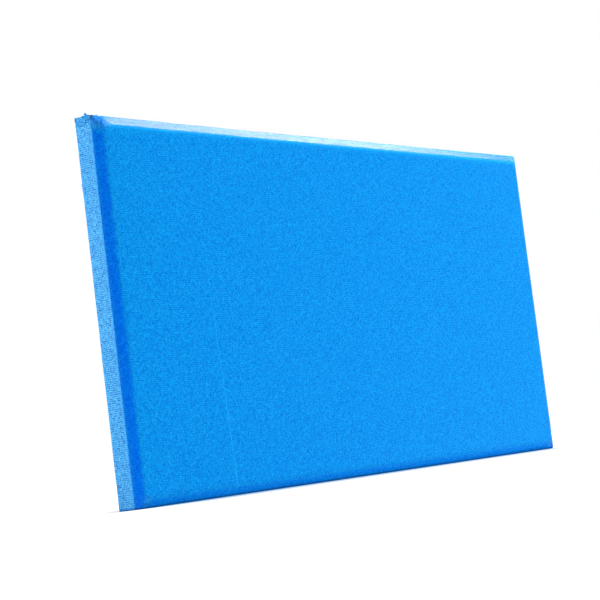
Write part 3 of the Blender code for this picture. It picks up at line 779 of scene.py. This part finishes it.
staple = start(bpy.ops.mesh.primitive_cube_add, "staple", size=1, scale=(CROWN_W, CROWN_T, STAPLE_WIRE_W))
leg_x = CROWN_W / 2 - CROWN_T
edit(staple, "FACE")
for side in (-1, 1):
    bpy.ops.mesh.select_all(action="SELECT")
    bpy.ops.mesh.bisect(plane_co=(side * leg_x, 0, 0), plane_no=(1, 0, 0))
pick(staple, lambda face: face.normal.y < -FACING and abs(face.calc_center_median().x) > leg_x)
bpy.ops.mesh.extrude_region_move(TRANSFORM_OT_translate={"value": (0, -STAPLE_LEG, 0)})
bpy.ops.mesh.select_mode(type="EDGE")
pick(staple, outer_bend)
bpy.ops.mesh.bevel(offset=STAPLE_BEND, segments=2, affect="EDGES")
bpy.ops.object.mode_set(mode="OBJECT")


def copy_of(made, name):
    """A copy of a piece under its own name and with its own mesh."""
    select_only(made)
    bpy.ops.object.duplicate()
    copy = bpy.context.active_object
    copy.name = copy.data.name = name
    return copy


def staple_row(name, places):
    """A row of staples, copied from the first one to places with their turn in degrees."""
    row = []
    for place, turn in places:
        driven = copy_of(staple, name)
        driven.data.transform(Matrix.Translation(place) @ Matrix.Rotation(math.radians(turn), 4, "Y"))
        row.append(driven)
    select_only(row[0])
    for driven in row:
        driven.select_set(True)
    bpy.ops.object.join()
    row[0].name = row[0].data.name = name
    return row[0]


def at_hanger(z):
    """Whether a height on a stile is taken up by the hanger."""
    low, high = strap_box
    return low.z - PAST_HANGER < z < high.z + PAST_HANGER


def staple_places(level, reach, turn, along_x):
    """Places along one edge, each staple a little out of line."""
    out = dust_high.y + CROWN_T / 2 + STAPLE_LIFT
    places = []
    for k in range(-reach, reach + 1):
        place_in_noise = Vector((k * 1.7, level * 31, turn))  # shared with no other staple
        lean = STAPLE_LEAN * noise.noise(place_in_noise)
        step = k * STAPLE_PITCH
        if along_x:
            places.append((Vector((step, out, level)), turn + lean))
        elif not at_hanger(panel_h / 2 + step):
            places.append((Vector((level, out, panel_h / 2 + step)), turn + lean))
    return places


staple_rows = {
    "staples_top": staple_places(panel_h - STAPLE_INSET, STAPLES_ALONG, 0, True),
    "staples_bottom": staple_places(STAPLE_INSET, STAPLES_ALONG, 0, True),
    "staples_left": staple_places(-panel_w / 2 + STAPLE_INSET, STAPLES_UP, 90, False),
    "staples_right": staple_places(panel_w / 2 - STAPLE_INSET, STAPLES_UP, 90, False),
}
for name, places in staple_rows.items():
    row = staple_row(name, places)
    row.data.shade_flat()
    seat(row, "panel", "zinc_steel", zinc)
bpy.data.objects.remove(staple)

# Hangers: two steel straps with an eye rolled at the top, one on each stile, to hang the panel by.
# Pressed from strip and zinc plated. They lie on the dust cover and are screwed through it.
dress(["strap_hanger_left", "strap_hanger_right"], zinc_plate("zinc_strip"))

# D-rings: steel wire bent to a straight bar and a round bow, zinc plated, one held loose in each eye.
# The two ends of the wire butt together inside the eye.
WIRE_R = 0.00125
RING_INNER_W = 0.014
RING_BEND_R = 0.0025
RING_SIDE = 0.0045


def grow(*way):
    """Extrude what is selected along a way."""
    bpy.ops.mesh.extrude_region_move(TRANSFORM_OT_translate={"value": way})


def bend_wire(centre, degrees, steps):
    """Carry the open end of the wire round a bend in the ring's own plane."""
    bpy.ops.mesh.spin(steps=steps, angle=math.radians(degrees), center=centre, axis=(0, -1, 0))


eyes = {joint["child"]: Vector(joint["pos_m"]) for joint in frame["joints"]}
eye = eyes["left_ring"]
bow_r = RING_INNER_W / 2 + WIRE_R
bar = bow_r - RING_BEND_R
first_ring = start(
    bpy.ops.mesh.primitive_circle_add,
    "ring_wire_left",
    vertices=20,
    radius=WIRE_R,
    location=eye - Vector((bar, 0, 0)),
    rotation=(0, math.radians(90), 0),
)
edit(first_ring, "EDGE")
bpy.ops.mesh.select_all(action="SELECT")
grow(2 * bar, 0, 0)
bend_wire(eye + Vector((bar, 0, -RING_BEND_R)), 90, 8)
grow(0, 0, RING_BEND_R - RING_SIDE)
bend_wire(eye - Vector((0, 0, RING_SIDE)), 180, 36)
grow(0, 0, RING_SIDE - RING_BEND_R)
bend_wire(eye - Vector((bar, 0, RING_BEND_R)), 90, 8)
bpy.ops.mesh.select_all(action="SELECT")
bpy.ops.mesh.remove_doubles(threshold=0.00002)
bpy.ops.mesh.normals_make_consistent(inside=False)
bpy.ops.object.mode_set(mode="OBJECT")
first_ring.data.shade_smooth()
second_ring = copy_of(first_ring, "ring_wire_right")
second_ring.data.transform(Matrix.Translation(eyes["right_ring"] - eye))
zinc_wire = zinc_plate("zinc_wire")
seat(first_ring, "left_ring", "zinc_steel", zinc_wire, "d_ring_left")
seat(second_ring, "right_ring", "zinc_steel", zinc_wire, "d_ring_right")

# Strap screws: short pan-head screws with a cross recess, two through each strap into the stile.
# Cold-formed steel, zinc plated, with the head seated on the strap.
PAN_HEAD_R = 0.0028
PAN_HEAD_H = 0.0018
PAN_RIM_H = 0.0005
PAN_SHANK_R = 0.0014
PAN_SHANK = 0.0160
PAN_TIP = 0.0030
PAN_TIP_SHARE = 0.15  # how much of its thickness the shank keeps at the tip
CROSS_SPAN = 0.0032
CROSS_W = 0.0008
CROSS_DEPTH = 0.0011
CROSS_TAPER = 0.6  # how much of its size the cross keeps at the bottom
SCREW_TURN = 190  # radians for each metre up the panel, so that no two crosses stand alike


def turned_upright(made, place):
    """Turn a piece made along Z to stand out of the panel's back at a place."""
    made.data.transform(Matrix.Translation(place) @ Matrix.Rotation(math.radians(-90), 4, "X"))


screw = start(
    bpy.ops.mesh.primitive_uv_sphere_add,
    "pan_screw",
    segments=32,
    ring_count=16,
    radius=PAN_HEAD_R,
    location=(0, 0, PAN_RIM_H),
    scale=(1, 1, (PAN_HEAD_H - PAN_RIM_H) / PAN_HEAD_R),
)
edit(screw, "FACE")
bpy.ops.mesh.select_all(action="SELECT")
bpy.ops.mesh.bisect(plane_co=(0, 0, PAN_RIM_H), plane_no=(0, 0, 1), use_fill=True, clear_inner=True)
pick(screw, lambda face: face.normal.z < -FACING)
grow(0, 0, -PAN_RIM_H)
bpy.ops.mesh.inset(thickness=PAN_HEAD_R - PAN_SHANK_R)
grow(0, 0, PAN_TIP - PAN_SHANK)
grow(0, 0, -PAN_TIP)
bpy.ops.transform.resize(value=(PAN_TIP_SHARE, PAN_TIP_SHARE, 1))
bpy.ops.object.mode_set(mode="OBJECT")
for turn in (0, 90):
    blade = start(
        bpy.ops.mesh.primitive_cube_add,
        "blade",
        size=1,
        location=(0, 0, PAN_HEAD_H),
        rotation=(0, 0, math.radians(turn)),
        scale=(CROSS_SPAN, CROSS_W, 2 * CROSS_DEPTH),
    )
    edit(blade, "FACE")
    pick(blade, lambda face: face.normal.z < -FACING)
    bpy.ops.transform.resize(value=(CROSS_TAPER, CROSS_TAPER, 1))
    bpy.ops.object.mode_set(mode="OBJECT")
    apply(screw, "BOOLEAN", operation="DIFFERENCE", object=blade)
    bpy.data.objects.remove(blade)
for name in [name for name in frame["nodes"] if name.startswith("strap_screw")]:
    low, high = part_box(name)
    driven = copy_of(screw, name.replace("strap_screw", "pan_screw"))
    seat_place = Vector(((low.x + high.x) / 2, high.y - PAN_HEAD_H, (low.z + high.z) / 2))
    driven.data.transform(Matrix.Rotation(SCREW_TURN * seat_place.z, 4, "Z"))
    turned_upright(driven, seat_place)
    bpy.ops.object.shade_smooth_by_angle(angle=math.radians(35))
    seat(driven, "panel", "zinc_steel", zinc, name)
bpy.data.objects.remove(screw)

# Wall bumpers: round rubber feet in the four corners of the back, which keep the hung panel off the wall.
# Moulded in matt black rubber with a slight taper and a flat top, and glued on.
BUMPER_BASE_R = 0.0062
BUMPER_TOP_R = 0.0052
BUMPER_H = 0.006
BUMPER_EDGE_R = 0.0009
RUBBER_GRAIN = 1500
RUBBER = (0.018, 0.018, 0.018, 1)
RUBBER_DUSTY = (0.032, 0.032, 0.031, 1)

rubber, rubber_shader = finish("black_rubber", 0.7)
rubber_grain = grain(rubber, place_on_object(rubber), RUBBER_GRAIN, 4, 0.6)
colour_from(rubber, rubber_shader, shades(rubber, rubber_grain, (0.4, RUBBER), (0.8, RUBBER_DUSTY)))
raise_surface(rubber, rubber_shader, rubber_grain, 0.00008, 0.6)

bumper = start(
    bpy.ops.mesh.primitive_cylinder_add,
    "bumper",
    vertices=48,
    radius=BUMPER_BASE_R,
    depth=BUMPER_H,
    location=(0, 0, BUMPER_H / 2),
)
edit(bumper, "FACE")
pick(bumper, lambda face: face.normal.z > FACING)
taper = BUMPER_TOP_R / BUMPER_BASE_R
bpy.ops.transform.resize(value=(taper, taper, 1))
bpy.ops.mesh.select_mode(type="EDGE")
pick(bumper, lambda edge: min(vert.co.z for vert in edge.verts) > 0.9 * BUMPER_H)
bpy.ops.mesh.bevel(offset=BUMPER_EDGE_R, segments=5, affect="EDGES")
bpy.ops.object.mode_set(mode="OBJECT")
for corner in CORNERS:
    low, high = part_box(f"wall_bumper_{corner}")
    glued = copy_of(bumper, f"rubber_bumper_{corner}")
    turned_upright(glued, Vector(((low.x + high.x) / 2, low.y, (low.z + high.z) / 2)))
    bpy.ops.object.shade_smooth_by_angle(angle=math.radians(40))
    seat(glued, "panel", "black_rubber", rubber, f"wall_bumper_{corner}")
bpy.data.objects.remove(bumper)

# Studio: a white floor with a painted blue contact shade under the panel, a plain white backdrop, three
# soft lamps and the camera at the photograph's view.
# The lamps stand high on the right, behind on the left and in front, and leave the left bevel in shade.
FLOOR_SIZE = 9
FLOOR_GREY = (0.45, 0.45, 0.45, 1)
FLOOR_LIGHT = 1.45  # what makes the floor white to the camera
FLOOR_GLOW = 0.65  # how much of that light it has round the panel, where the shadow has to show
GLOW_RISES = (0.9, 1.9)  # how far from the middle the light starts to rise, and is full
NOOK_REACH = 0.2  # how far the painted shade under the panel reaches
PAINTED_NOOK_SHADE = (0.04, 0.24, 0.52, 1)  # painted shade under the panel, in the blue of painted bounce light from the cloth
WHITE = (1, 1, 1, 1)
FILL = 0.30
FILL_TINT = (0.93, 0.97, 1.0, 1)
PANEL_MIDDLE = Vector((0, 0, panel_h / 2))
LENS = 104.49  # millimetres; it and the camera's place and turn are fitted to the panel's edges
CAMERA_PLACE = Vector((-2.4513, -1.8663, 0.0579))
CAMERA_RIGHT = Vector((0.6310, -0.7660, -0.1224))
CAMERA_UP = Vector((0.0111, -0.1489, 0.9888))
CAMERA_BACK = Vector((-0.7757, -0.6253, -0.0854))


def seen_directly(material):
    """1 where the camera, a reflection or glass shows a surface, and 0 where it lights the object."""
    path = add(material, "ShaderNodeLightPath", {})
    shown = number(material, "MAXIMUM", path.outputs["Is Camera Ray"], path.outputs["Is Glossy Ray"])
    return number(material, "MAXIMUM", shown, path.outputs["Is Transmission Ray"])


floor = start(bpy.ops.mesh.primitive_plane_add, "studio_floor", size=FLOOR_SIZE, location=(0, 0, 0))
floor_white, floor_shader = finish("floor_white", 1.0)
floor_shader.inputs["Base Color"].default_value = FLOOR_GREY
floor_shader.inputs["Specular IOR Level"].default_value = 0
# Painted contact shadow: the floor's glow is darkened and tinted blue near the panel by its occlusion.
nook = add(floor_white, "ShaderNodeAmbientOcclusion", {"Distance": NOOK_REACH}).outputs["AO"]
glow_with_painted_shade = shades(floor_white, nook, (0.52, PAINTED_NOOK_SHADE), (0.84, WHITE))
glow = add(floor_white, "ShaderNodeEmission", {"Color": glow_with_painted_shade, "Strength": FLOOR_LIGHT})
on_floor = {0: place_on_object(floor_white)}
from_middle = add(floor_white, "ShaderNodeVectorMath", on_floor, operation="LENGTH").outputs["Value"]
rise = {"Value": from_middle, "From Min": GLOW_RISES[0], "From Max": GLOW_RISES[1], "To Min": FLOOR_GLOW}
glow_share = add(floor_white, "ShaderNodeMapRange", rise).outputs["Result"]
shown = number(floor_white, "MULTIPLY", seen_directly(floor_white), glow_share)
floor_mix = {0: shown, 1: floor_shader.outputs[0], 2: glow.outputs[0]}
floor_look = add(floor_white, "ShaderNodeMixShader", floor_mix)
floor_surface = floor_white.node_tree.nodes["Material Output"].inputs["Surface"]
floor_white.node_tree.links.new(floor_look.outputs[0], floor_surface)
floor.data.materials.append(floor_white)

world = bpy.data.worlds.new("white_studio")
world.use_nodes = True
bpy.context.scene.world = world
fill = world.node_tree.nodes["Background"]
fill.inputs["Color"].default_value = FILL_TINT
fill.inputs["Strength"].default_value = FILL
backdrop = add(world, "ShaderNodeBackground", {"Color": WHITE, "Strength": 1.0})
world_mix = {0: seen_directly(world), 1: fill.outputs[0], 2: backdrop.outputs[0]}
world_look = add(world, "ShaderNodeMixShader", world_mix)
world.node_tree.links.new(world_look.outputs[0], world.node_tree.nodes["World Output"].inputs["Surface"])


def lamp(name, towards, distance, width, height, power):
    """A soft lamp that faces the panel from one direction."""
    light = bpy.data.lights.new(name, "AREA")
    light.shape = "RECTANGLE"
    light.size, light.size_y = width, height
    light.energy = power
    lit_from = bpy.data.objects.new(name, light)
    bpy.context.scene.collection.objects.link(lit_from)
    away = Vector(towards).normalized()
    lit_from.location = PANEL_MIDDLE + away * distance
    lit_from.rotation_euler = away.to_track_quat("Z", "Y").to_euler()
    return lit_from


lamp("high_right_lamp", (0.66, -0.08, 0.745), distance=4.24, width=0.6, height=1.9, power=375)
lamp("back_left_lamp", (-0.72, 0.66, 0.16), distance=3.2, width=1.5, height=1.5, power=134)
front_lamp = lamp("front_lamp", (0.08, -0.78, 0.13), distance=5.5, width=1.2, height=2.0, power=190)
front_lamp.visible_glossy = False  # it leaves no glint along the crease of the left bevel

camera = bpy.data.cameras.new("camera")
camera.sensor_width = 36
camera.lens = LENS
view_from = bpy.data.objects.new("camera", camera)
bpy.context.scene.collection.objects.link(view_from)
turned = Matrix((CAMERA_RIGHT, CAMERA_UP, CAMERA_BACK)).transposed().to_4x4()
view_from.matrix_world = Matrix.Translation(CAMERA_PLACE) @ turned
bpy.context.scene.camera = view_from
bpy.context.scene.view_settings.view_transform = "Standard"
